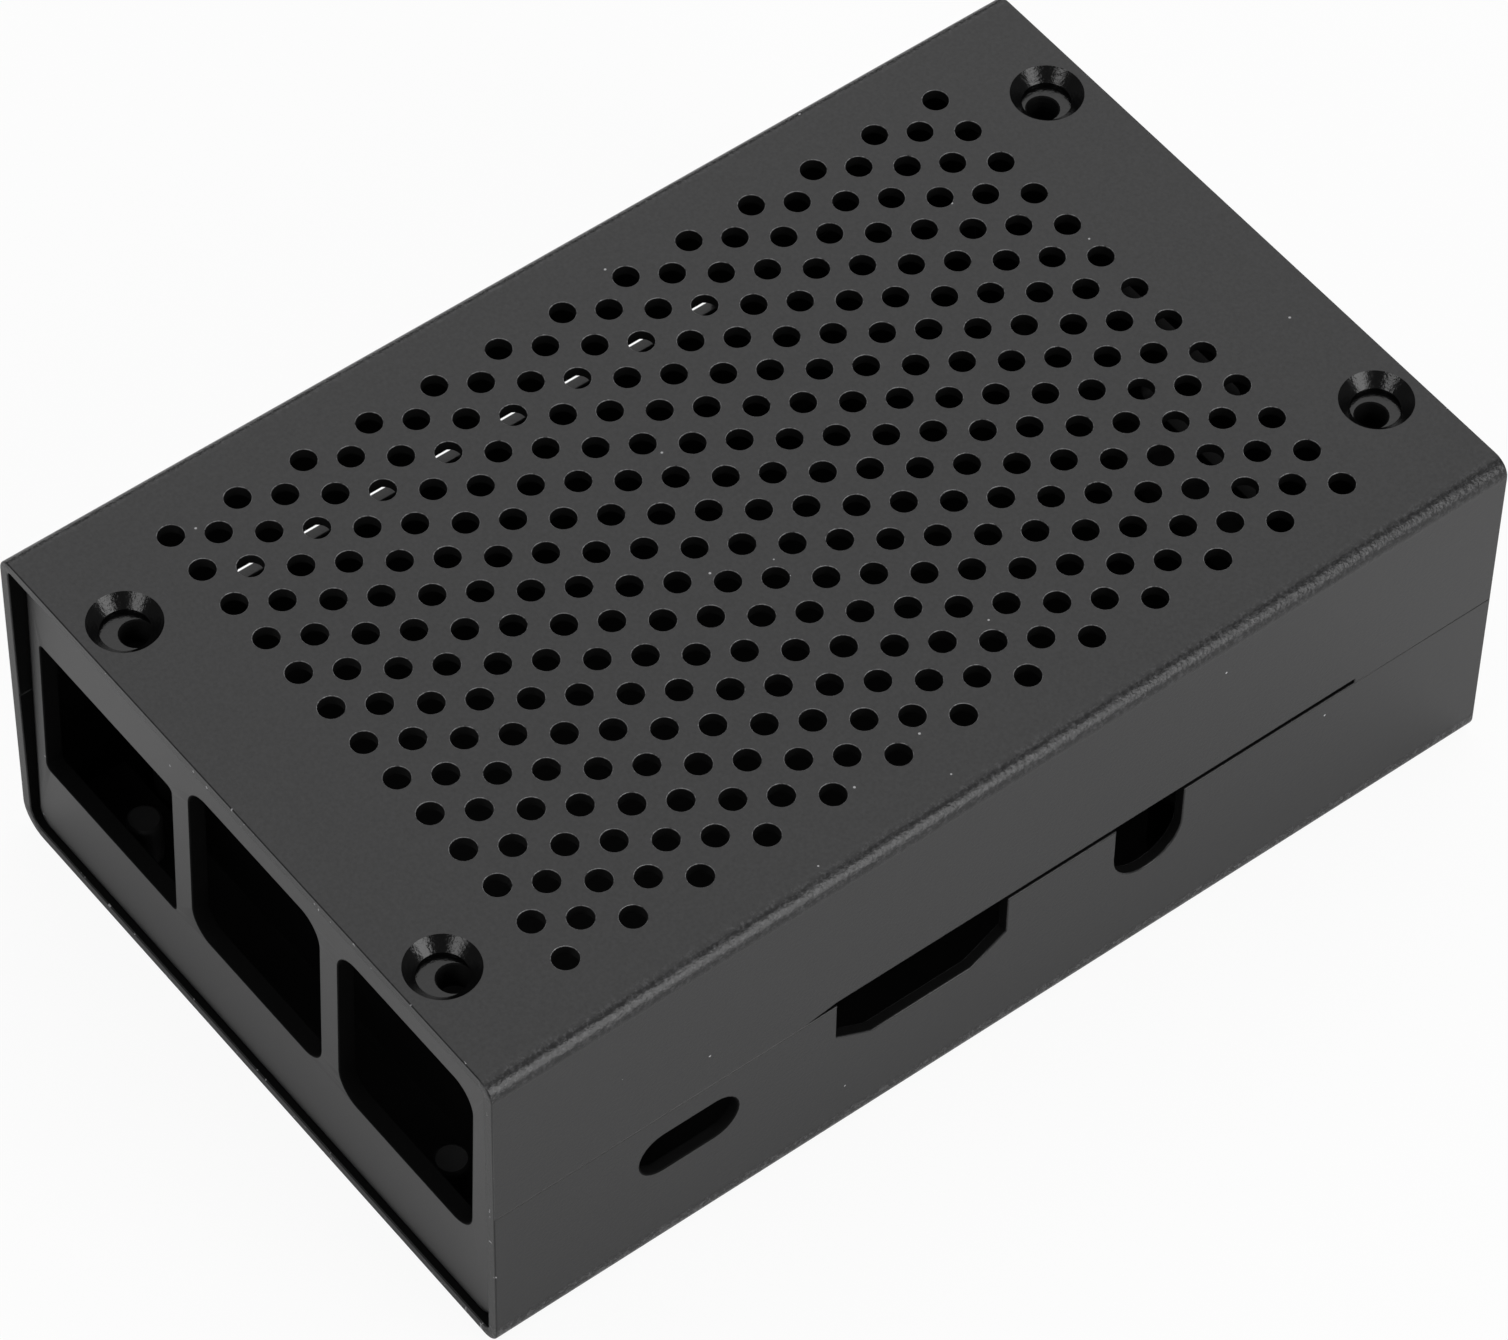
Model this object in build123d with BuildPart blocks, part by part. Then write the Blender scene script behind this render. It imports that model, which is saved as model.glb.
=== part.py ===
from build123d import *
import os

os.makedirs("parts", exist_ok=True)

# The closed case: length along X, width along Y, underside on Z = 0.
# The port wall faces -Y, and the end with the three windows faces -X.
case_length = 94.2
case_width = 60.6
case_height = 32.0
seam_height = 16.2

# Both shells are bent from the same sheet, the lower one over a rounder tool
sheet = 1.0
upper_bend_radius = 0.5
lower_bend_radius = 1.5

# Perforation of the top: a grid of round holes, and one fewer each way punched
# between them by a second stroke that lands a little to one side. Each hole is
# drawn with six sides, as there are hundreds.
perforation_diameter = 2.1
perforation_sides = 6
perforation_count = 13
perforation_step_x = 6.0
perforation_step_y = 4.02
second_stroke_shift = 0.17

# M3 countersunk screws close the case, four from above and four from below
screw_from_end = 3.75
screw_from_side = 10.8
countersink_diameter = 5.8
countersink_angle = 90
clearance_diameter = 3.9

# End pieces: a channel whose web leans in towards the top
web = 1.5
flange = 3.0
flange_reach = 7.2
foot_recess = 0.5
top_recess = 1.2
channel_corner = 0.4
side_clearance = 0.15
bend_clearance = 0.2
tap_inset = 0.3
tap_drill_diameter = 2.5

# The board that the case is made for, held by its lower shell
board_from_end = 7.1
board_from_side = 1.4
board_underside = 8.6
board_top = 10.0
board_hole_margin = 3.5
board_hole_spacing_x = 58.0
board_hole_spacing_y = 49.0

# Board supports, pressed into the floor by a hexagonal head
support_diameter = 5.0
support_head_across_flats = 5.6
support_tap_diameter = 2.05

# Cut-outs of the port wall, placed from the board's end
power_from_end = 10.45
power_width = 9.0
power_height = 4.3
power_above_board = 1.55
display_from_end = 32.0
display_width = 16.0
display_sill_above_board = 0.4
display_corner_width = 3.3
display_corner_height = 1.9
audio_from_end = 53.6
audio_width = 6.55
audio_axis_above_board = 2.6

# Ribbon cable reliefs along the seam, over the board's pin header
header_from_end = 32.8
header_length = 52.6
lower_relief = 1.7
upper_relief = 0.5
relief_taper = 3.0

# Windows of the port end, placed from the board's edge
network_from_edge = 10.0
network_width = 16.9
network_height = 14.55
network_sill_below_board = 1.05
network_corner = 0.5
usb_near_from_edge = 28.8
usb_far_from_edge = 47.3
usb_width = 16.2
usb_height = 16.8
usb_sill_below_board = 0.55
usb_corner = 2.2

# Slots of the card end
card_from_edge = 28.0
card_width = 14.0
card_height = 3.1
card_corner = 0.8
ribbon_from_edge = 24.4
ribbon_width = 16.0
ribbon_height = 2.0
ribbon_axis_above_board = 6.1
ribbon_corner = 0.5

# Screws that hold the end pieces to the floor
screw_head_diameter = 5.5
screw_length = 8.0
screw_play = 0.05

# Planes and places that the pieces share
half_length = case_length / 2
half_width = case_width / 2
floor_top = sheet
roof_under = case_height - sheet
web_half_width = half_width - sheet - side_clearance
flange_half_width = half_width - sheet - lower_bend_radius - bend_clearance
screw_column = half_length - screw_from_end
screw_row = half_width - screw_from_side
tap_column = screw_column - tap_inset
board_end_x = board_from_end - half_length
board_edge_y = board_from_side - half_width
board_centre_x = board_end_x + board_hole_margin + board_hole_spacing_x / 2
board_centre_y = board_edge_y + board_hole_margin + board_hole_spacing_y / 2
underside = Plane(origin=(0, 0, 0), x_dir=(1, 0, 0), z_dir=(0, 0, -1))
roof = Plane.XY.offset(case_height)
port_wall = Plane.XZ.offset(half_width)
far_wall = Plane.XZ.offset(-half_width)


# Lower shell: floor and two side walls bent up from one sheet
with BuildPart() as lower_shell:
    with BuildSketch(Plane.YZ):
        with BuildLine():
            FilletPolyline(
                (-half_width, seam_height),
                (-half_width, 0),
                (half_width, 0),
                (half_width, seam_height),
                radius=lower_bend_radius + sheet,
            )
            offset(amount=sheet, side=Side.LEFT)
        make_face()
    extrude(amount=half_length, both=True)

    # Cut-outs of the port wall; the two tall ones stay open to the seam
    with BuildSketch(port_wall):
        with Locations((board_end_x + power_from_end, board_top + power_above_board)):
            SlotOverall(power_width, power_height)
        display_x = board_end_x + display_from_end
        display_sill = board_top + display_sill_above_board
        with BuildLine():
            Polyline(
                (display_x - display_width / 2, seam_height),
                (display_x - display_width / 2, display_sill + display_corner_height),
                (display_x - display_width / 2 + display_corner_width, display_sill),
                (display_x + display_width / 2 - display_corner_width, display_sill),
                (display_x + display_width / 2, display_sill + display_corner_height),
                (display_x + display_width / 2, seam_height),
                close=True,
            )
        make_face()
        audio_axis = board_top + audio_axis_above_board
        with Locations((board_end_x + audio_from_end, audio_axis)):
            Circle(audio_width / 2)
            Rectangle(audio_width, seam_height - audio_axis, align=(Align.CENTER, Align.MIN))
    extrude(amount=-sheet, mode=Mode.SUBTRACT)

    # Long shallow relief in the far wall for a ribbon cable
    with BuildSketch(far_wall):
        with Locations((board_end_x + header_from_end, seam_height)):
            Rectangle(header_length, lower_relief, align=(Align.CENTER, Align.MAX))
    extrude(amount=sheet, mode=Mode.SUBTRACT)

    # Countersunk screw holes and the seats of the pressed-in supports
    with Locations(underside):
        with GridLocations(2 * tap_column, 2 * screw_row, 2, 2):
            CounterSinkHole(clearance_diameter / 2, countersink_diameter / 2, sheet, countersink_angle)
    with BuildSketch(Plane.XY):
        with Locations((board_centre_x, board_centre_y)):
            with GridLocations(board_hole_spacing_x, board_hole_spacing_y, 2, 2):
                RegularPolygon(support_head_across_flats / 2, 6, major_radius=False)
    extrude(amount=sheet, mode=Mode.SUBTRACT)

lower_shell.part.label = "lower_shell"
export_step(lower_shell.part, "parts/lower_shell.step")


# Upper shell: perforated top and two side walls bent down from one sheet.
# It is fitted turned by half a turn, so its relief lies over the port wall.
with BuildPart() as upper_shell:
    with BuildSketch(Plane.YZ):
        with BuildLine():
            FilletPolyline(
                (-half_width, seam_height),
                (-half_width, case_height),
                (half_width, case_height),
                (half_width, seam_height),
                radius=upper_bend_radius + sheet,
            )
            offset(amount=sheet, side=Side.RIGHT)
        make_face()
    extrude(amount=half_length, both=True)

    # Countersunk screw holes
    with Locations(roof):
        with GridLocations(2 * screw_column, 2 * screw_row, 2, 2):
            CounterSinkHole(clearance_diameter / 2, countersink_diameter / 2, sheet, countersink_angle)

    # Relief in the near wall, its left end running in on a slope
    relief_right = header_length / 2 - (board_end_x + header_from_end)
    relief_left = relief_right - header_length
    with BuildSketch(port_wall):
        with BuildLine():
            Polyline(
                (relief_left, seam_height),
                (relief_left + relief_taper, seam_height + upper_relief),
                (relief_right, seam_height + upper_relief),
                (relief_right, seam_height),
                close=True,
            )
        make_face()
    extrude(amount=-sheet, mode=Mode.SUBTRACT)

    # Perforation, cut last because every later cut would have to pass its hundreds of faces
    with BuildSketch(roof):
        with GridLocations(perforation_step_x, perforation_step_y, perforation_count, perforation_count):
            RegularPolygon(perforation_diameter / 2, perforation_sides)
        with Locations((0, second_stroke_shift)):
            with GridLocations(
                perforation_step_x, perforation_step_y, perforation_count - 1, perforation_count - 1
            ):
                RegularPolygon(perforation_diameter / 2, perforation_sides)
    extrude(amount=-sheet, clean=False, mode=Mode.SUBTRACT)

upper_shell.part.label = "upper_shell"
export_step(upper_shell.part, "parts/upper_shell.step")


# Section of an end piece at the -X end: a channel that opens inwards
with BuildSketch(Plane.XZ) as channel_section:
    foot_x = foot_recess - half_length
    top_x = top_recess - half_length
    tip_x = foot_x + flange_reach
    with BuildLine():
        Polyline(
            (foot_x, floor_top),
            (tip_x, floor_top),
            (tip_x, floor_top + flange),
            (foot_x + web, floor_top + flange),
            (top_x + web, roof_under - flange),
            (tip_x, roof_under - flange),
            (tip_x, roof_under),
            (top_x, roof_under),
            close=True,
        )
    make_face()
    fillet(channel_section.vertices().filter_by_position(Axis.X, foot_x, top_x + web), channel_corner)

# Outline of the space between the bent walls, which the web just fills
with BuildSketch(Plane.YZ.offset(-half_length)) as bay_outline:
    with Locations((0, floor_top)):
        RectangleRounded(
            2 * web_half_width,
            roof_under - floor_top,
            lower_bend_radius + bend_clearance,
            align=(Align.CENTER, Align.MIN),
        )

# The flanges are cut shorter than the web, clear of the bends
with BuildSketch(Plane.XY) as flange_ends:
    with Locations((foot_recess - half_length + web, 0)):
        Rectangle(flange_reach, 2 * half_width, align=(Align.MIN, Align.CENTER))
        Rectangle(flange_reach, 2 * flange_half_width, align=(Align.MIN, Align.CENTER), mode=Mode.SUBTRACT)


# Blank end piece at the -X end, with the four tapped holes
with BuildPart() as end_blank:
    extrude(channel_section.sketch, amount=web_half_width, both=True)
    extrude(bay_outline.sketch, amount=case_length, mode=Mode.INTERSECT)
    extrude(flange_ends.sketch, amount=case_height, mode=Mode.SUBTRACT)
    with BuildSketch(Plane.XY.offset(roof_under)):
        with Locations((-tap_column, 0)):
            with GridLocations(0, 2 * screw_row, 1, 2):
                Circle(tap_drill_diameter / 2)
    extrude(amount=-flange, mode=Mode.SUBTRACT)
    with Locations(Plane(origin=(-tap_column, 0, floor_top), x_dir=(1, 0, 0), z_dir=(0, 0, -1))):
        with GridLocations(0, 2 * screw_row, 1, 2):
            CounterSinkHole(tap_drill_diameter / 2, clearance_diameter / 2, flange, countersink_angle)


# Port end piece: one window for the network socket and two for the USB stacks.
# It is fitted turned by half a turn, so the board's edge is mirrored in Y.
with BuildPart() as port_end_plate:
    add(end_blank.part)
    with BuildSketch(Plane.YZ.offset(-half_length)):
        with Locations((-board_edge_y - network_from_edge, board_top - network_sill_below_board)):
            RectangleRounded(
                network_width, network_height, network_corner, align=(Align.CENTER, Align.MIN)
            )
        for usb_from_edge in (usb_near_from_edge, usb_far_from_edge):
            with Locations((-board_edge_y - usb_from_edge, board_top - usb_sill_below_board)):
                RectangleRounded(usb_width, usb_height, usb_corner, align=(Align.CENTER, Align.MIN))
    extrude(amount=flange_reach, mode=Mode.SUBTRACT)

port_end_plate.part.label = "port_end_plate"
export_step(port_end_plate.part, "parts/port_end_plate.step")


# Card end piece: a slot for the memory card and one for a ribbon cable
with BuildPart() as card_end_plate:
    mirror(end_blank.part, about=Plane.YZ)
    with BuildSketch(Plane.YZ.offset(half_length)):
        with Locations((-board_edge_y - card_from_edge, board_underside)):
            RectangleRounded(card_width, card_height, card_corner, align=(Align.CENTER, Align.MAX))
        with Locations((-board_edge_y - ribbon_from_edge, board_top + ribbon_axis_above_board)):
            RectangleRounded(ribbon_width, ribbon_height, ribbon_corner)
    extrude(amount=-flange_reach, mode=Mode.SUBTRACT)

card_end_plate.part.label = "card_end_plate"
export_step(card_end_plate.part, "parts/card_end_plate.step")


# Board supports: a hexagonal head flush in the floor and a round tapped barrel
supports = GridLocations(board_hole_spacing_x, board_hole_spacing_y, 2, 2).locations
for number, place in enumerate(supports, start=1):
    foot = Plane.XY.move(Location((board_centre_x, board_centre_y, 0))).move(place)
    with BuildPart() as board_support:
        with BuildSketch(foot):
            RegularPolygon(support_head_across_flats / 2, 6, major_radius=False)
        extrude(amount=sheet)
        with BuildSketch(foot):
            Circle(support_diameter / 2)
        extrude(amount=board_underside)
        with BuildSketch(foot):
            Circle(support_tap_diameter / 2)
        extrude(amount=board_underside, mode=Mode.SUBTRACT)
    board_support.part.label = f"board_support_{number}"
    export_step(board_support.part, f"parts/board_support_{number}.step")


# Case screws: countersunk, up through the floor into the flanges. The threaded
# stretch is drawn at its core, and the socket is left plain.
with BuildPart() as case_screw:
    head_face = (countersink_diameter - screw_head_diameter) / 2 - screw_play
    shank_radius = tap_drill_diameter / 2 - screw_play
    head_radius = screw_head_diameter / 2
    with BuildSketch(Plane.XZ):
        with BuildLine():
            Polyline(
                (0, head_face),
                (head_radius, head_face),
                (shank_radius, head_face + head_radius - shank_radius),
                (shank_radius, head_face + screw_length),
                (0, head_face + screw_length),
                close=True,
            )
        make_face()
    revolve(axis=Axis.Z)

with BuildPart() as case_screws:
    with GridLocations(2 * tap_column, 2 * screw_row, 2, 2):
        add(case_screw.part)

case_screws.part.label = "case_screws"
export_step(case_screws.part, "parts/case_screws.step")
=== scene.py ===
from math import cos, pi, radians, sin

import bmesh
import bpy
from mathutils import Euler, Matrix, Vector
from mathutils.geometry import delaunay_2d_cdt


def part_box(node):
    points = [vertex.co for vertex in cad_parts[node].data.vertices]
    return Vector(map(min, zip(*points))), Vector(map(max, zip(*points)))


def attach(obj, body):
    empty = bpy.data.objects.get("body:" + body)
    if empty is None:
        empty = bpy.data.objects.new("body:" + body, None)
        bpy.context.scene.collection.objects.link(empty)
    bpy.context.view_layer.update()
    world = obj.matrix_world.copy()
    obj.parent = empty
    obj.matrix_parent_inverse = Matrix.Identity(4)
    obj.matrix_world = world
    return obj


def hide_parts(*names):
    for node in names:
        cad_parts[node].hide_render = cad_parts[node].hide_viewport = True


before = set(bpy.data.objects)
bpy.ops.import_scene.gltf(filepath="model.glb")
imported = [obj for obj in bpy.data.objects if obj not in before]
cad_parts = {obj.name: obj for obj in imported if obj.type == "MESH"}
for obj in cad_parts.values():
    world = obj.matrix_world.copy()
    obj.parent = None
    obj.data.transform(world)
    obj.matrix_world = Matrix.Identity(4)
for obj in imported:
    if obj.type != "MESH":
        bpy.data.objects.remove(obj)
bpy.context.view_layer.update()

# Lower shell: one sheet of 1 mm aluminium, cut flat with its port openings and
# bent up along both long sides. Bead-blasted, then anodised black. The cut
# edges are slightly rounded, and the long bends are stretched and speckled,
# with a painted highlight along them.
MM = 0.001
half_length, half_width, seam_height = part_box("lower_shell")[1]
roof_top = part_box("upper_shell")[1].z
sheet = 1.0 * MM
edge_round = 0.12 * MM
weld_distance = 0.0005 * MM
sharp_angle = radians(40)
large_flat_area = 20 * MM**2
CORNERS = [(-1, -1), (-1, 1), (1, -1), (1, 1)]
# Finish slots: the face, the turned cuts, and the dark inside finish that paints shade
FACE, TURNED, PAINTED_SHADE = 0, 1, 2


def ring_offset(points, distance):
    """The closed outline moved to its left by a distance, with mitred corners."""
    moved = []
    for before, here, after in zip(points[-1:] + points[:-1], points, points[1:] + points[:1]):
        first = Vector((before[1] - here[1], here[0] - before[0])).normalized()
        second = Vector((here[1] - after[1], after[0] - here[0])).normalized()
        mitre = (first + second) / (1 + first.dot(second))
        moved.append((here[0] + mitre.x * distance, here[1] + mitre.y * distance))
    return moved


def rounded_rim(points, thickness, radius, steps=3):
    """Rings of a cut edge with both corners rounded: (outline, depth) from face to back."""
    turns = [step * pi / 2 / steps for step in range(steps + 1)]
    upper = [(ring_offset(points, radius * (1 - sin(a))), radius * (1 - cos(a))) for a in turns]
    return upper + [(outline, thickness - depth) for outline, depth in reversed(upper)]


def circle(centre, radius, sides=48):
    """A closed outline with the material outside it."""
    angles = [-side * 2 * pi / sides for side in range(sides)]
    return [(centre[0] + radius * cos(a), centre[1] + radius * sin(a)) for a in angles]


def arc(centre, radius, start, end, steps=12):
    """Points of an arc between two angles in degrees."""
    angles = [radians(start + (end - start) * step / steps) for step in range(steps + 1)]
    return [(centre[0] + radius * cos(a), centre[1] + radius * sin(a)) for a in angles]


def inside(point, outlines):
    """True where a point has material, counted by crossings."""
    crossings = 0
    for points in outlines:
        for (x0, y0), (x1, y1) in zip(points, points[1:] + points[:1]):
            if (y0 > point[1]) != (y1 > point[1]):
                crossings += point[0] < x0 + (point[1] - y0) * (x1 - x0) / (y1 - y0)
    return crossings % 2 == 1


def fill_face(mesh, outlines, fold_lines, depth, place, slot):
    """Fills one face of the blank between its outlines, with an edge along each fold line."""
    spots = []
    edges = []
    for points in outlines:
        first = len(spots)
        spots += [Vector(point) for point in points]
        edges += [(first + i, first + (i + 1) % len(points)) for i in range(len(points))]
    near_enough = 0.01 * MM
    for line in fold_lines:
        ends = [i for i, spot in enumerate(spots) if abs(spot.y - line) < near_enough]
        edges.append((min(ends, key=lambda i: spots[i].x), max(ends, key=lambda i: spots[i].x)))
    found, _, faces, _, _, _ = delaunay_2d_cdt(spots, edges, [], 0, 1e-10)
    verts = [mesh.verts.new(place(spot.x, spot.y, depth)) for spot in found]
    for face in faces:
        middle = sum((found[i] for i in face), Vector((0, 0))) / len(face)
        if inside(middle, outlines):
            mesh.faces.new([verts[i] for i in face]).material_index = slot


def join_rings(mesh, rows, slot=FACE):
    """Faces between rows of points that have the same number of points each."""
    for upper, lower in zip(rows, rows[1:]):
        for i in range(len(upper)):
            j = (i + 1) % len(upper)
            mesh.faces.new((upper[i], upper[j], lower[j], lower[i])).material_index = slot


def finished_piece(name, mesh, finishes):
    """An object from a mesh being built, with its seams closed and its faces turned outwards."""
    bmesh.ops.remove_doubles(mesh, verts=mesh.verts, dist=weld_distance)
    bmesh.ops.recalc_face_normals(mesh, faces=mesh.faces)
    data = bpy.data.meshes.new(name)
    mesh.to_mesh(data)
    mesh.free()
    for finish in finishes:
        data.materials.append(finish)
    piece = bpy.data.objects.new(name, data)
    bpy.context.collection.objects.link(piece)
    return piece


def bent_sheet(name, cut_edges, fold_lines, place, finishes, panel_outline=None, panel=None):
    """A closed sheet piece from the rings of its cut edges, bent by the place function.

    Each cut edge comes with the number of its finish, the outer edge first. The
    face takes the first finish and the back the third, which paints shade. A panel
    made apart is welded in where the sheet is left open along its outline.
    """
    mesh = bmesh.new()
    left_open = [panel_outline] if panel_outline else []
    outer_rings = cut_edges[0][0]
    for end, slot in ((0, FACE), (-1, PAINTED_SHADE)):
        outlines = [rings[end][0] for rings, _ in cut_edges] + left_open
        fill_face(mesh, outlines, fold_lines, outer_rings[end][1], place, slot)
    if panel:
        mesh.from_mesh(panel)
        for face in mesh.faces[-len(panel.polygons):]:
            face.material_index = finishes.index(panel.materials[face.material_index])
    for rings, slot in cut_edges:
        rows = [[mesh.verts.new(place(x, y, depth)) for x, y in points] for points, depth in rings]
        join_rings(mesh, rows, slot)
    return finished_piece(name, mesh, finishes)


def settled(piece):
    """The plain mesh of a piece with its modifiers applied."""
    return bpy.data.meshes.new_from_object(piece.evaluated_get(bpy.context.evaluated_depsgraph_get()))


def smooth_shaded(piece):
    """Smooth shading that keeps flat faces flat, with the modifier turned into the mesh.

    A large flat, however many thin triangles it was cut into, rules the shading
    of the corners it shares with a rounded edge. The modifier reads that from
    the face strength, which it keeps in an attribute of its own.
    """
    piece.data.shade_smooth()
    piece.data.set_sharp_from_angle(angle=sharp_angle)
    planes = []
    areas = {}
    for face in piece.data.polygons:
        facing = tuple(round(part, 3) for part in face.normal)
        plane = facing + (round(face.normal.dot(face.center) / MM, 2),)
        planes.append(plane)
        areas[plane] = areas.get(plane, 0.0) + face.area
    strength = piece.data.attributes.new("__mod_weightednormals_faceweight", "INT", "FACE")
    strong = 16384
    for index, plane in enumerate(planes):
        strength.data[index].value = strong if areas[plane] > large_flat_area else -strong
    weighted = piece.modifiers.new("flat faces stay flat", "WEIGHTED_NORMAL")
    weighted.weight = 100
    weighted.keep_sharp = True
    weighted.use_face_influence = True
    plain = settled(piece)
    piece.modifiers.clear()
    piece.data = plain
    return piece


class Bend:
    """Places a point of a flat blank on the bent shell, face side outwards."""

    def __init__(self, level, up, near_radius, far_radius, steps):
        self.level = level
        self.up = up
        self.radius = {-1: near_radius + sheet, 1: far_radius + sheet}
        self.lines = []
        for side, radius in self.radius.items():
            for step in range(steps + 1):
                self.lines.append(side * (half_width - radius + radius * pi / 2 * step / steps))

    def wall(self, side, points):
        """Places on the blank of points of one side wall, given by place and height."""
        radius = self.radius[side]
        fold_end = half_width - radius + radius * pi / 2
        return [(x, side * (fold_end + abs(height - self.level) - radius)) for x, height in points]

    def __call__(self, x, v, depth):
        side = 1 if v > 0 else -1
        radius = self.radius[side]
        flat = half_width - radius
        past_flat = abs(v) - flat
        if past_flat <= 0:
            return Vector((x, v, self.level + self.up * depth))
        arc_length = radius * pi / 2
        turn = min(past_flat / arc_length, 1) * pi / 2
        reach = radius - depth
        y = side * (flat + reach * sin(turn))
        z = self.level + self.up * (radius - reach * cos(turn))
        z += self.up * max(past_flat - arc_length, 0)
        return Vector((x, y, z))


def give(tree, socket, value):
    """Links a socket to another one, or sets it to a value."""
    if isinstance(value, bpy.types.NodeSocket):
        tree.links.new(value, socket)
    else:
        socket.default_value = value


def node_maker(tree):
    """Two short calls for a tree: one adds a node with its inputs given, one does a sum."""

    def add(kind, settings=(), **inputs):
        node = tree.nodes.new(kind)
        for label, value in settings:
            setattr(node, label, value)
        for label, value in inputs.items():
            give(tree, node.inputs[label.replace("_", " ")], value)
        return node

    def sum_of(operation, *values):
        node = add("ShaderNodeMath", [("operation", operation)])
        for socket, value in zip(node.inputs, values):
            give(tree, socket, value)
        return node.outputs[0]

    return add, sum_of


def shader_group(name, values, results):
    """An empty shader node group that reads a position and named values, with its two ends."""
    group = bpy.data.node_groups.new(name, "ShaderNodeTree")
    group.interface.new_socket("Position", in_out="INPUT", socket_type="NodeSocketVector")
    for label, value in values.items():
        socket = group.interface.new_socket(label, in_out="INPUT", socket_type="NodeSocketFloat")
        socket.default_value = value
    for label in results:
        group.interface.new_socket(label, in_out="OUTPUT", socket_type="NodeSocketFloat")
    given = group.nodes.new("NodeGroupInput").outputs
    return group, given, group.nodes.new("NodeGroupOutput").inputs


def grain_group():
    """Bead-blasted grain as a height and as a tone around 1. The size is in millimetres."""
    group, given, result = shader_group(
        "blasted grain", {"Grain Size": 0.12, "Tone Change": 0.12}, ["Height", "Tone"]
    )
    add, sum_of = node_maker(group)
    grain = add(
        "ShaderNodeTexNoise", Vector=given["Position"], Detail=2.0, Roughness=0.6,
        Scale=sum_of("DIVIDE", 1 / MM, given["Grain Size"]),
    ).outputs["Fac"]
    give(group, result["Height"], grain)
    tone = sum_of("MULTIPLY_ADD", sum_of("SUBTRACT", grain, 0.5), given["Tone Change"], 1.0)
    give(group, result["Tone"], tone)
    return group


def bend_group():
    """Stretched anodising along a bend, whole up to Near from the edge line and gone at Far, with a
    speckled painted highlight on it.
    """
    group, given, result = shader_group(
        "bend stretch and painted highlight",
        {"Edge Y": half_width, "Edge Z": 0.0, "Near": 0.9 * MM, "Far": 1.7 * MM},
        ["Mask", "Painted Highlight"],
    )
    add, sum_of = node_maker(group)
    along = add("ShaderNodeSeparateXYZ", Vector=given["Position"]).outputs
    from_edge = add(
        "ShaderNodeCombineXYZ",
        Y=sum_of("SUBTRACT", sum_of("ABSOLUTE", along["Y"]), given["Edge Y"]),
        Z=sum_of("SUBTRACT", along["Z"], given["Edge Z"]),
    )
    distance = add("ShaderNodeVectorMath", [("operation", "LENGTH")], Vector=from_edge.outputs[0])
    mask = add(
        "ShaderNodeMapRange", [("interpolation_type", "SMOOTHSTEP")], Value=distance.outputs["Value"],
        From_Min=given["Near"], From_Max=given["Far"], To_Min=1.0, To_Max=0.0,
    ).outputs[0]
    speckle_size = 0.35 * MM
    torn = add(
        "ShaderNodeTexNoise", Vector=given["Position"], Scale=1 / speckle_size, Detail=2.0,
        Roughness=0.7,
    )
    raised = add("ShaderNodeMapRange", Value=torn.outputs["Fac"], From_Min=0.48, From_Max=0.66)
    give(group, result["Mask"], mask)
    give(group, result["Painted Highlight"], sum_of("MULTIPLY", mask, raised.outputs[0]))
    return group


def speck_group():
    """Bright specks, as dust on the faces and as chips close to the cut ends."""
    group, given, result = shader_group(
        "dust and chips",
        {
            "Speck Size": 0.1 * MM, "Cell": 4.0 * MM,
            "Chip Level": 0.66, "Chip Reach": 0.14 * MM, "End": half_length,
        },
        ["Mask"],
    )
    add, sum_of = node_maker(group)
    cells = add(
        "ShaderNodeTexVoronoi", Vector=given["Position"], Scale=sum_of("DIVIDE", 1.0, given["Cell"])
    )
    speck = sum_of("DIVIDE", given["Speck Size"], given["Cell"])
    dust = sum_of("LESS_THAN", cells.outputs["Distance"], speck)
    along = add("ShaderNodeSeparateXYZ", Vector=given["Position"]).outputs["X"]
    end_gap = sum_of("SUBTRACT", given["End"], sum_of("ABSOLUTE", along))
    chip_size = MM / 1.6
    ragged = add("ShaderNodeTexNoise", Vector=given["Position"], Scale=1 / chip_size, Detail=3.0)
    rough_edge = sum_of("GREATER_THAN", ragged.outputs["Fac"], given["Chip Level"])
    chips = sum_of("MULTIPLY", sum_of("LESS_THAN", end_gap, given["Chip Reach"]), rough_edge)
    give(group, result["Mask"], sum_of("MAXIMUM", dust, chips))
    return group


blasted_grain = grain_group()
bend_stretch_and_highlight = bend_group()
dust_and_chips = speck_group()
bare_metal = (0.42, 0.42, 0.43, 1)
# How much higher the grain stands on a bend, above the height it has on a flat
bend_coarseness = 3.0


def mixed_colour(tree, blend, factor, first, second):
    """Two colours mixed, by the factor and colour sockets of a Mix node."""
    node = tree.nodes.new("ShaderNodeMix")
    node.data_type = "RGBA"
    node.blend_type = blend
    for number, value in ((0, factor), (6, first), (7, second)):
        give(tree, node.inputs[number], value)
    return node.outputs[2]


def anodised(name, colour, roughness, ior, grain_size, grain_height, tone_change):
    """Black anodised aluminium with a blasted grain, its size in millimetres."""
    material = bpy.data.materials.new(name)
    material.use_nodes = True
    tree = material.node_tree
    add, _ = node_maker(tree)
    shader = tree.nodes["Principled BSDF"]
    shader.inputs["Roughness"].default_value = roughness
    shader.inputs["IOR"].default_value = ior
    grain = add(
        "ShaderNodeGroup", [("node_tree", blasted_grain)], Grain_Size=grain_size,
        Tone_Change=tone_change, Position=add("ShaderNodeTexCoord").outputs["Object"],
    )
    tinted = mixed_colour(tree, "MULTIPLY", 1.0, (*colour, 1), grain.outputs["Tone"])
    bump = add("ShaderNodeBump", Strength=1.0, Distance=grain_height, Height=grain.outputs["Height"])
    give(tree, shader.inputs["Base Color"], tinted)
    give(tree, shader.inputs["Normal"], bump.outputs["Normal"])
    return material


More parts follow.
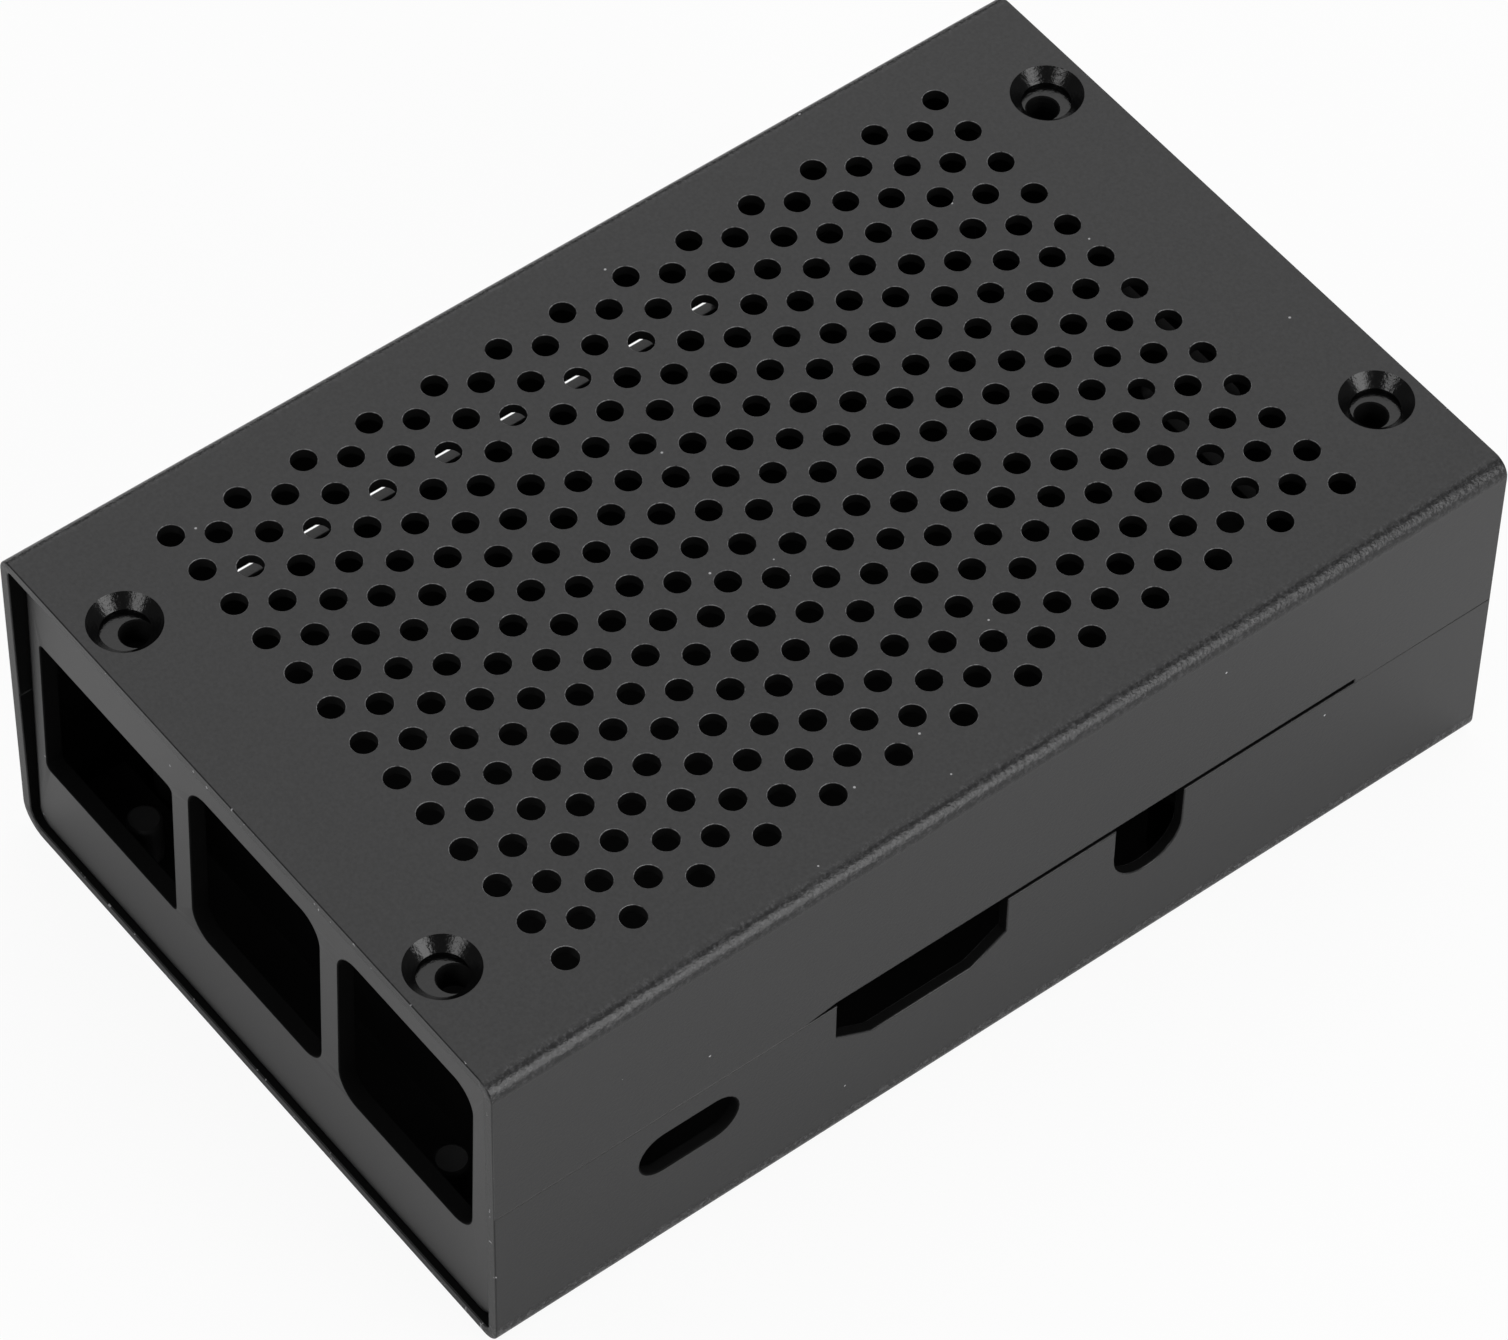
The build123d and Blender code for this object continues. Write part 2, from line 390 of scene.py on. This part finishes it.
def add_wear_and_bend_highlights(material, chip_level, bends=()):
    """Adds dust, chips and the speckled, coarser stretch along the bends to a finish, with a painted
    highlight on the bends.
    """
    tree = material.node_tree
    add, sum_of = node_maker(tree)
    colour = tree.nodes["Principled BSDF"].inputs["Base Color"]
    height = tree.nodes["Bump"].inputs["Height"]
    place = tree.nodes["Texture Coordinate"].outputs["Object"]
    for edge_height, near, far, lift in bends:
        stretch = add(
            "ShaderNodeGroup", [("node_tree", bend_stretch_and_highlight)], Position=place,
            Edge_Z=edge_height, Near=near, Far=far,
        ).outputs
        # The colour takes the painted highlight, and the bump takes the coarser stretch
        for socket, mask, strength in ((colour, "Painted Highlight", lift), (height, "Mask", bend_coarseness)):
            scaled = add(
                "ShaderNodeVectorMath", [("operation", "SCALE")],
                Vector=socket.links[0].from_socket,
                Scale=sum_of("MULTIPLY_ADD", stretch[mask], strength, 1.0),
            )
            give(tree, socket, scaled.outputs[0])
    specks = add(
        "ShaderNodeGroup", [("node_tree", dust_and_chips)], Position=place, Chip_Level=chip_level
    )
    unworn = colour.links[0].from_socket
    give(tree, colour, mixed_colour(tree, "MIX", specks.outputs["Mask"], unworn, bare_metal))


shell_finish = anodised(
    "blasted black anodising", (0.020, 0.020, 0.0205), roughness=0.27, ior=1.40,
    grain_size=0.30, grain_height=0.012 * MM, tone_change=1.2,
)
# For each bend: the height of its edge line, where its stretch begins and ends to
# fade, and how much lighter its painted highlight is
upper_bend_stretch_and_highlight = (roof_top, 0.9 * MM, 1.7 * MM, 1.6)
lower_bend_stretch_and_highlight = (0.0, 1.7 * MM, 2.4 * MM, 3.0)
add_wear_and_bend_highlights(shell_finish, chip_level=0.70, bends=[upper_bend_stretch_and_highlight, lower_bend_stretch_and_highlight])
turned_finish = anodised(
    "turned black anodising", (0.003, 0.003, 0.0031), roughness=0.20, ior=1.45,
    grain_size=0.26, grain_height=0.030 * MM, tone_change=0.3,
)
# Insides, cut and hole walls and the board supports: partly unblasted, partly painted shade
shaded_inside_finish = anodised(
    "unblasted black inside with painted shade", (0.007, 0.007, 0.007), roughness=0.6, ior=1.12,
    grain_size=0.25, grain_height=0.002 * MM, tone_change=0.3,
)

# The near bend is tighter than the far one. Edge rounding opens the far relief
# by about 0.15 mm, so it is cut that much shallower.
lower_bend = Bend(level=0.0, up=1, near_radius=0.5 * MM, far_radius=1.5 * MM, steps=10)
power_centre = (-29.55 * MM, 11.55 * MM)
power_width = 9.0 * MM
power_height = 4.3 * MM
display_left = -16.0 * MM
display_right = 0.0 * MM
display_sill = 10.4 * MM
display_corner = (3.3 * MM, 1.9 * MM)
audio_centre = (13.6 * MM, 12.6 * MM)
audio_radius = 3.275 * MM
far_relief = (-33.5 * MM, 19.1 * MM)
far_relief_sill = seam_height - 1.55 * MM


def blank_outline(bend, port_wall, far_wall):
    """A shell's blank, from the free edges of its two walls, given by place and height."""
    folds = sorted(bend.lines)
    outline = bend.wall(-1, port_wall) + [(half_length, line) for line in folds]
    return outline + bend.wall(1, far_wall) + [(-half_length, line) for line in reversed(folds)]


lower_port_wall = [
    (-half_length, seam_height),
    (display_left, seam_height),
    (display_left, display_sill + display_corner[1]),
    (display_left + display_corner[0], display_sill),
    (display_right - display_corner[0], display_sill),
    (display_right, display_sill + display_corner[1]),
    (display_right, seam_height),
    (audio_centre[0] - audio_radius, seam_height),
    *arc(audio_centre, audio_radius, 180, 360, 16),
    (audio_centre[0] + audio_radius, seam_height),
    (half_length, seam_height),
]
lower_far_wall = [
    (half_length, seam_height),
    (far_relief[1], seam_height),
    (far_relief[1], far_relief_sill),
    (far_relief[0], far_relief_sill),
    (far_relief[0], seam_height),
    (-half_length, seam_height),
]
power_half = (power_width - power_height) / 2
power_slot = arc((power_centre[0] + power_half, power_centre[1]), power_height / 2, -90, 90)
power_slot += arc((power_centre[0] - power_half, power_centre[1]), power_height / 2, 90, 270)

countersink_radius = 2.9 * MM
clearance_radius = 1.95 * MM
tap_column = 43.05 * MM
screw_column = 43.35 * MM
screw_row = 19.5 * MM


def countersink(centre):
    """Rings of a countersunk hole, cut almost through the sheet."""
    return [
        (circle(centre, countersink_radius), 0.0),
        (circle(centre, clearance_radius), countersink_radius - clearance_radius),
        (circle(centre, clearance_radius), sheet),
    ]


support_centre = (-7.5 * MM, -0.9 * MM)
support_spacing = (58.0 * MM, 49.0 * MM)
support_head_flats = 5.6 * MM
support_places = [
    (support_centre[0] + i * support_spacing[0] / 2, support_centre[1] + j * support_spacing[1] / 2)
    for i, j in CORNERS
]

lower_outline = blank_outline(lower_bend, lower_port_wall, lower_far_wall)
lower_edges = [
    (rounded_rim(lower_outline, sheet, edge_round), FACE),
    (rounded_rim(lower_bend.wall(-1, power_slot), sheet, edge_round), PAINTED_SHADE),
]
for support_place in support_places:
    seat = circle(support_place, support_head_flats / 2 / cos(pi / 6), sides=6)
    lower_edges.append(([(seat, 0.0), (seat, sheet)], FACE))
for i, j in CORNERS:
    lower_edges.append((countersink((i * tap_column, j * screw_row)), TURNED))


def darken_port_cuts(piece):
    """Gives the cut edges of the port wall's openings, which weren't blasted, the dark inside finish,
    which also paints shade on them.
    """
    for face in piece.data.polygons:
        in_the_sheet = 0.2 * sheet < half_width + face.center.y < 0.8 * sheet
        on_the_wall = 2 * sheet < face.center.z < seam_height + sheet
        if in_the_sheet and on_the_wall and abs(face.center.x) < half_length - sheet:
            face.material_index = PAINTED_SHADE


lower_shell = smooth_shaded(
    bent_sheet(
        "bent_lower_shell", lower_edges, lower_bend.lines, lower_bend,
        [shell_finish, turned_finish, shaded_inside_finish],
    )
)
darken_port_cuts(lower_shell)
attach(lower_shell, "root")
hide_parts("lower_shell")

# Upper shell: the same sheet, bent down along both long sides, with the punched
# perforation and four countersunk screw holes in its top. It is fitted turned
# by half a turn, so its shallow cable relief lies over the port wall.
upper_bend = Bend(level=roof_top, up=-1, near_radius=0.5 * MM, far_radius=0.5 * MM, steps=8)
near_relief = (-19.1 * MM, 33.5 * MM)
near_relief_head = seam_height + 0.5 * MM
near_relief_taper = 3.0 * MM
# Perforation rims: far paler than the face, partly rubbed edges and partly a painted highlight
rubbed_and_highlit_finish = anodised(
    "rubbed edges with painted highlight", (0.14, 0.14, 0.143), roughness=0.45, ior=1.4,
    grain_size=0.30, grain_height=0.010 * MM, tone_change=4.0,
)
perforation = {
    "Step X": 6.0 * MM,
    "Step Y": 4.02 * MM,
    "Count": 13,
    "Stroke Shift": 0.17 * MM,
    "Hole Radius": 1.05 * MM,
    "Rim": 0.045 * MM,
    "Thickness": sheet,
    "Panel Length": 76.0 * MM,
    "Panel Width": 53.0 * MM,
    "Level": roof_top,
    "Face Finish": shell_finish,
    "Rim Finish": rubbed_and_highlit_finish,
    # The hole walls and the back take the dark inside finish, which paints shade
    "Cut Finish": shaded_inside_finish,
}


def made_by_nodes(name, tree, values):
    """The plain mesh that a Geometry Nodes tree makes from its named inputs."""
    maker = bpy.data.objects.new(name, bpy.data.meshes.new(name))
    bpy.context.collection.objects.link(maker)
    modifier = maker.modifiers.new(name, "NODES")
    modifier.node_group = tree
    for item in tree.interface.items_tree:
        if item.item_type == "SOCKET" and item.in_out == "INPUT":
            modifier[item.identifier] = values[item.name]
    made = settled(maker)
    bpy.data.objects.remove(maker)
    return made


def joined(tree, *parts):
    """One geometry from several."""
    node = tree.nodes.new("GeometryNodeJoinGeometry")
    for part in reversed(parts):
        tree.links.new(part, node.inputs[0])
    return node.outputs[0]


def perforated_panel():
    """A flat panel with two interleaved grids of round holes, each hole's edges broken."""
    tree = bpy.data.node_groups.new("perforated panel", "GeometryNodeTree")
    labels = ("Step X", "Step Y", "Stroke Shift", "Hole Radius", "Rim", "Thickness")
    labels += ("Panel Length", "Panel Width", "Level")
    for label in labels:
        tree.interface.new_socket(label, in_out="INPUT", socket_type="NodeSocketFloat")
    tree.interface.new_socket("Count", in_out="INPUT", socket_type="NodeSocketInt")
    for label in ("Face Finish", "Rim Finish", "Cut Finish"):
        tree.interface.new_socket(label, in_out="INPUT", socket_type="NodeSocketMaterial")
    tree.interface.new_socket("Geometry", in_out="OUTPUT", socket_type="NodeSocketGeometry")
    add, sum_of = node_maker(tree)
    given = tree.nodes.new("NodeGroupInput").outputs
    hole_sides = 24

    def moved(part, **by):
        offset = add("ShaderNodeCombineXYZ", **by).outputs[0]
        return add("GeometryNodeTransform", Geometry=part, Translation=offset).outputs[0]

    def coated(part, finish):
        return add("GeometryNodeSetMaterial", Geometry=part, Material=given[finish]).outputs[0]

    grids = []
    for fewer, shift in ((0, 0.0), (1, given["Stroke Shift"])):
        count = sum_of("SUBTRACT", given["Count"], fewer)
        gaps = sum_of("SUBTRACT", count, 1)
        grid = add(
            "GeometryNodeMeshGrid", Vertices_X=count, Vertices_Y=count,
            Size_X=sum_of("MULTIPLY", gaps, given["Step X"]),
            Size_Y=sum_of("MULTIPLY", gaps, given["Step Y"]),
        )
        grids.append(moved(grid.outputs["Mesh"], Y=shift))
    centres = joined(tree, *grids)

    mouth = sum_of("ADD", given["Hole Radius"], given["Rim"])
    outline = add("GeometryNodeCurvePrimitiveCircle", Resolution=hole_sides, Radius=mouth)
    outlines = add("GeometryNodeInstanceOnPoints", Points=centres, Instance=outline.outputs[0])
    loose = add("GeometryNodeRealizeInstances", Geometry=outlines.outputs[0])
    border = add(
        "GeometryNodeCurvePrimitiveQuadrilateral",
        Width=given["Panel Length"], Height=given["Panel Width"],
    )
    flat = add("GeometryNodeFillCurve", Curve=joined(tree, border.outputs[0], loose.outputs[0]))
    face = moved(coated(flat.outputs[0], "Face Finish"), Z=given["Level"])
    back_level = sum_of("SUBTRACT", given["Level"], given["Thickness"])
    back = add("GeometryNodeFlipFaces", Mesh=moved(coated(flat.outputs[0], "Cut Finish"), Z=back_level))

    bore = given["Hole Radius"]
    bore_foot = sum_of("SUBTRACT", given["Thickness"], given["Rim"])
    bore_depth = sum_of("SUBTRACT", given["Thickness"], sum_of("MULTIPLY", given["Rim"], 2))
    rings = []
    for below, low_radius, high_radius, depth, finish in (
        (given["Rim"], bore, mouth, given["Rim"], "Rim Finish"),
        (bore_foot, bore, bore, bore_depth, "Cut Finish"),
        (given["Thickness"], mouth, bore, given["Rim"], "Cut Finish"),
    ):
        ring = add(
            "GeometryNodeMeshCone", [("fill_type", "NONE")], Vertices=hole_sides,
            Radius_Top=high_radius, Radius_Bottom=low_radius, Depth=depth,
        )
        foot = sum_of("SUBTRACT", given["Level"], below)
        rings.append(coated(moved(ring.outputs["Mesh"], Z=foot), finish))
    wall = add("GeometryNodeFlipFaces", Mesh=joined(tree, *rings))
    walls = add("GeometryNodeInstanceOnPoints", Points=centres, Instance=wall.outputs[0])

    parts = joined(tree, face, back.outputs[0], walls.outputs[0])
    whole = add("GeometryNodeRealizeInstances", Geometry=parts)
    welded = add("GeometryNodeMergeByDistance", Geometry=whole.outputs[0], Distance=weld_distance)
    tree.links.new(welded.outputs[0], tree.nodes.new("NodeGroupOutput").inputs[0])
    return tree


upper_port_wall = [
    (-half_length, seam_height),
    (near_relief[0], seam_height),
    (near_relief[0] + near_relief_taper, near_relief_head),
    (near_relief[1], near_relief_head),
    (near_relief[1], seam_height),
    (half_length, seam_height),
]
upper_far_wall = [(half_length, seam_height), (-half_length, seam_height)]
upper_outline = blank_outline(upper_bend, upper_port_wall, upper_far_wall)
upper_edges = [(rounded_rim(upper_outline, sheet, edge_round), FACE)]
for i, j in CORNERS:
    upper_edges.append((countersink((i * screw_column, j * screw_row)), TURNED))
panel_corner = (perforation["Panel Length"] / 2, perforation["Panel Width"] / 2)
panel_outline = [
    (i * panel_corner[0], j * panel_corner[1]) for i, j in ((-1, -1), (-1, 1), (1, 1), (1, -1))
]
panel = made_by_nodes("perforated panel", perforated_panel(), perforation)
upper_shell = smooth_shaded(
    bent_sheet(
        "bent_upper_shell", upper_edges, upper_bend.lines, upper_bend,
        [shell_finish, turned_finish, shaded_inside_finish, rubbed_and_highlit_finish], panel_outline, panel,
    )
)
darken_port_cuts(upper_shell)
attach(upper_shell, "root")
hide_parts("upper_shell")

# End pieces: aluminium channels with a thin web, which leans in towards the top,
# and thick tapped flanges. The left one has three windows, the right one two
# slots. They were anodised without blasting, so they are smoother than the shells.
plate_finish = anodised(
    "satin black anodising", (0.018, 0.018, 0.0184), roughness=0.36, ior=1.69,
    grain_size=0.15, grain_height=0.005 * MM, tone_change=1.3,
)
add_wear_and_bend_highlights(plate_finish, chip_level=1.0)
web = 1.5 * MM
web_round = 0.6 * MM
web_half_width = 29.15 * MM
web_foot = 46.6 * MM
web_top = 45.9 * MM
web_corner = 1.7 * MM
flange = 3.0 * MM
flange_tip = 39.4 * MM
flange_half_width = 27.6 * MM
floor_top = sheet
roof_under = roof_top - sheet
turned_sides = 24
thread_pitch = 0.5 * MM
tap_core = 1.25 * MM
tap_depth = 0.22 * MM
tap_mouth = 0.12 * MM
spot_face_radius = 2.15 * MM
spot_face_depth = 0.4 * MM
# How far the upper taps were drilled off their places, as seen through the top
tap_drift = {"port_end_plate": (0.33 * MM, -0.45 * MM), "card_end_plate": (-0.15 * MM, -0.10 * MM)}
# Each window from its left to its right, its low to its high edge, and its corner radius
windows = {
    "port_end_plate": [
        (10.45 * MM, 27.35 * MM, 8.95 * MM, 23.5 * MM, 0.5 * MM),
        (-8.0 * MM, 8.2 * MM, 9.45 * MM, 26.25 * MM, 2.2 * MM),
        (-26.5 * MM, -10.3 * MM, 9.45 * MM, 26.25 * MM, 2.2 * MM),
    ],
    "card_end_plate": [
        (-6.1 * MM, 7.9 * MM, 5.5 * MM, 8.6 * MM, 0.8 * MM),
        (-3.5 * MM, 12.5 * MM, 15.1 * MM, 17.1 * MM, 0.5 * MM),
    ],
}


def rounded_rectangle(left, right, low, high, radius):
    """A closed outline with the material inside it."""
    points = arc((right - radius, low + radius), radius, -90, 0)
    points += arc((right - radius, high - radius), radius, 0, 90)
    points += arc((left + radius, high - radius), radius, 90, 180)
    return points + arc((left + radius, low + radius), radius, 180, 270)


def tapped_hole(centre, core, thread_depth, length, mouth=0.0, start=0.0):
    """Rings of a tapped hole: a chamfered mouth, then a radius that swings between core and root."""
    first = start + mouth
    turns = round((length - first) / (thread_pitch / 2))
    rings = []
    if mouth:
        mouth_outline = circle(centre, core + mouth, turned_sides)
        rings += [(mouth_outline, depth) for depth in sorted({0.0, start})]
    for step in range(turns + 1):
        radius = core + thread_depth * (step % 2)
        depth = first + step * (length - first) / turns
        rings.append((circle(centre, radius, turned_sides), depth))
    return rings


def at_level(level, inward):
    """Places the points of a flat blank at a level, its thickness towards the case's middle."""
    return lambda x, y, depth: Vector((x, y, level + inward * depth))


def one_piece(name, parts, cutters):
    """Closed pieces that run into each other, joined into one closed piece, then cut."""
    body = parts[0]
    body.name = name
    steps = [("UNION", part) for part in parts[1:]] + [("DIFFERENCE", cutter) for cutter in cutters]
    for operation, part in steps:
        step = body.modifiers.new("joined or cut", "BOOLEAN")
        step.operation = operation
        step.solver = "EXACT"
        step.object = part
    bpy.context.view_layer.update()
    plain = settled(body)
    body.modifiers.clear()
    body.data = plain
    for _, part in steps:
        bpy.data.objects.remove(part)
    return body


def end_piece(node, end):
    """The end piece on the side where X has the sign of end."""

    def on_web(y, z, depth):
        lean = (z - floor_top) / (roof_under - floor_top)
        return Vector((end * (web_foot + (web_top - web_foot) * lean - depth), y, z))

    outer = rounded_rectangle(-web_half_width, web_half_width, floor_top, roof_under, web_corner)
    web_edges = [(rounded_rim(outer, web, web_round), FACE)]
    for window in windows[node]:
        web_edges.append((rounded_rim(rounded_rectangle(*window)[::-1], web, edge_round), PAINTED_SHADE))
    web_finishes = [plate_finish, turned_finish, shaded_inside_finish]
    parts = [bent_sheet(node + " web", web_edges, [], on_web, web_finishes)]

    root, tip = end * (web_top - web / 2), end * flange_tip
    flange_outline = [
        (root, -flange_half_width), (tip, -flange_half_width),
        (tip, flange_half_width), (root, flange_half_width),
    ][::-end]
    flange_finishes = [turned_finish, turned_finish, shaded_inside_finish]
    for level, inward, start, mouth, drift in (
        (roof_under, -1, spot_face_depth, tap_mouth, tap_drift[node]),
        (floor_top, 1, 0.0, clearance_radius - tap_core, (0.0, 0.0)),
    ):
        flange_edges = [(rounded_rim(flange_outline, flange, edge_round), PAINTED_SHADE)]
        for j in (-1, 1):
            centre = (end * tap_column + drift[0], j * screw_row + drift[1])
            tap = tapped_hole(centre, tap_core, tap_depth, flange, mouth, start)
            flange_edges.append((tap, PAINTED_SHADE))
        name = f"{node} flange {inward}"
        parts.append(bent_sheet(name, flange_edges, [], at_level(level, inward), flange_finishes))

    # Spot faces sink the upper taps under the countersinks of the roof
    spot_faces = []
    for j in (-1, 1):
        disc = circle((end * screw_column, j * screw_row), spot_face_radius)[::-1]
        side = ([(disc, -spot_face_depth), (disc, spot_face_depth)], TURNED)
        name = f"{node} spot face {j}"
        spot_faces.append(bent_sheet(name, [side], [], at_level(roof_under, -1), [turned_finish] * 3))
    piece = smooth_shaded(one_piece("finished_" + node, parts, spot_faces))
    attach(piece, "root")
    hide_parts(node)


end_piece("port_end_plate", -1)
end_piece("card_end_plate", 1)

# Board supports: four turned pillars, tapped through, pressed into the floor by
# their hexagonal heads before the shell was anodised
support_top = 8.6 * MM
support_radius = 2.5 * MM
support_break = 0.2 * MM
support_core = 1.025 * MM
support_thread_depth = 0.18 * MM


def hexagon(centre, across_flats):
    """A hexagon with a corner towards +X, with as many points as the circles of turned pieces."""
    angles = [-side * 2 * pi / turned_sides for side in range(turned_sides)]
    radii = [across_flats / 2 / cos(a % (pi / 3) - pi / 6) for a in angles]
    return [(centre[0] + r * cos(a), centre[1] + r * sin(a)) for r, a in zip(radii, angles)]


def add_lofted(mesh, rings):
    """Adds a closed form from outlines at heights. The last one meets the first, or both are capped."""
    rows = [[mesh.verts.new((x, y, height)) for x, y in points] for points, height in rings]
    join_rings(mesh, rows)
    if rings[0] != rings[-1]:
        mesh.faces.new(rows[0])
        mesh.faces.new(rows[-1])


for number, centre in enumerate(support_places, start=1):
    bore = tapped_hole(centre, support_core, support_thread_depth, support_top)
    pillar = circle(centre, support_radius, turned_sides)
    head = hexagon(centre, support_head_flats)
    rings = bore + [
        (circle(centre, support_radius - support_break, turned_sides), support_top),
        (pillar, support_top - support_break), (pillar, sheet),
        (head, sheet), (head, 0.0), bore[0],
    ]
    mesh = bmesh.new()
    add_lofted(mesh, rings)
    # The supports take the dark inside finish, which paints them in shade
    support = smooth_shaded(finished_piece(f"turned_support_{number}", mesh, [shaded_inside_finish]))
    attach(support, "root")
    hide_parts(f"board_support_{number}")

# Case screws: four black countersunk screws with a hexagon socket, up through
# the floor into the flanges of the end pieces
screw_finish = anodised(
    "black oxide steel", (0.01, 0.01, 0.0103), roughness=0.5, ior=1.35,
    grain_size=0.2, grain_height=0.002 * MM, tone_change=0.3,
)
head_face = 0.1 * MM
head_radius = 2.75 * MM
head_break = 0.08 * MM
socket_flats = 2.0 * MM
socket_depth = 0.9 * MM
screw_length = 8.0 * MM
screw_play = 0.05 * MM
screw_core = tap_core - screw_play
thread_start = head_face + head_radius - screw_core
thread_length = head_face + screw_length - thread_start
screws = bmesh.new()
for i, j in CORNERS:
    centre = (i * tap_column, j * screw_row)
    rings = [
        (hexagon(centre, socket_flats), head_face + socket_depth),
        (hexagon(centre, socket_flats), head_face + head_break / 2),
        (hexagon(centre, socket_flats + head_break), head_face),
        (circle(centre, head_radius - head_break, turned_sides), head_face),
        (circle(centre, head_radius, turned_sides), head_face + head_break),
    ]
    thread = tapped_hole(centre, screw_core, tap_depth, thread_length)
    rings += [(points, thread_start + depth) for points, depth in thread]
    add_lofted(screws, rings)
case_screws = smooth_shaded(finished_piece("countersunk_case_screws", screws, [screw_finish]))
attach(case_screws, "root")
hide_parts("case_screws")

# Floor: a wide pale sweep just under the case, shown to the camera a little
# paler than it is lit, with the shadow kept
floor_reach = 3.0
floor_level = -0.02 * MM
floor_colour = (0.9, 0.9, 0.9, 1)
floor_shown_white = 0.93
floor_mirrored_white = 0.15
floor_data = bpy.data.meshes.new("floor")
floor_data.from_pydata(
    [(i * floor_reach, j * floor_reach, floor_level) for i, j in ((-1, -1), (1, -1), (1, 1), (-1, 1))],
    [], [(0, 1, 2, 3)],
)
floor = bpy.data.objects.new("floor", floor_data)
bpy.context.collection.objects.link(floor)
floor_finish = bpy.data.materials.new("pale floor")
floor_finish.use_nodes = True
floor_tree = floor_finish.node_tree
add, sum_of = node_maker(floor_tree)
floor_shader = floor_tree.nodes["Principled BSDF"]
floor_shader.inputs["Base Color"].default_value = floor_colour
floor_shader.inputs["Roughness"].default_value = 0.9
floor_shader.inputs["Specular IOR Level"].default_value = 0.0
rays = add("ShaderNodeLightPath").outputs
floor_share = sum_of(
    "MULTIPLY_ADD", rays["Is Glossy Ray"], floor_mirrored_white,
    sum_of("MULTIPLY", rays["Is Camera Ray"], floor_shown_white),
)
floor_mix = add("ShaderNodeMixShader", Fac=floor_share)
floor_tree.links.new(floor_shader.outputs[0], floor_mix.inputs[1])
floor_tree.links.new(add("ShaderNodeEmission").outputs[0], floor_mix.inputs[2])
floor_tree.links.new(floor_mix.outputs[0], floor_tree.nodes["Material Output"].inputs["Surface"])
floor.data.materials.append(floor_finish)

# Light: one large soft box behind the case and two smaller ones at its sides, in
# a dim grey room. Angles are in degrees and widths and heights in metres.
lamp_distance = 0.7
world_strength = 0.10
world = bpy.data.worlds.new("dim grey room")
world.use_nodes = True
world.node_tree.nodes["Background"].inputs["Color"].default_value = (1, 1, 1, 1)
world.node_tree.nodes["Background"].inputs["Strength"].default_value = world_strength
bpy.context.scene.world = world
for name, azimuth, elevation, width, height, radiance in (
    ("large soft box behind", 51, 58, 0.90, 1.00, 1.28),
    ("left soft box", -170, 36, 0.30, 0.26, 3.6),
    ("right soft box", -74, 25, 0.38, 0.50, 4.4),
):
    direction = Vector((
        cos(radians(elevation)) * cos(radians(azimuth)),
        cos(radians(elevation)) * sin(radians(azimuth)),
        sin(radians(elevation)),
    ))
    lamp = bpy.data.objects.new(name, bpy.data.lights.new(name, "AREA"))
    lamp.data.shape = "RECTANGLE"
    lamp.data.size = width
    lamp.data.size_y = height
    lamp.data.energy = radiance * pi * width * height
    lamp.location = direction * lamp_distance
    lamp.rotation_euler = direction.to_track_quat("Z", "Y").to_euler()
    bpy.context.collection.objects.link(lamp)

# Camera: the photograph's view, from above the corner between the port wall and
# the windowed end, through a long lens
camera = bpy.data.objects.new("camera", bpy.data.cameras.new("camera"))
camera.location = (-0.22362, -0.27716, 0.46320)
camera.rotation_euler = Euler((radians(38.3296), radians(-0.8383), radians(-37.8230)))
camera.data.lens = 180.85
camera.data.sensor_width = 36.0
camera.data.clip_start = 0.01
bpy.context.collection.objects.link(camera)
bpy.context.scene.camera = camera
bpy.context.scene.view_settings.view_transform = "Standard"
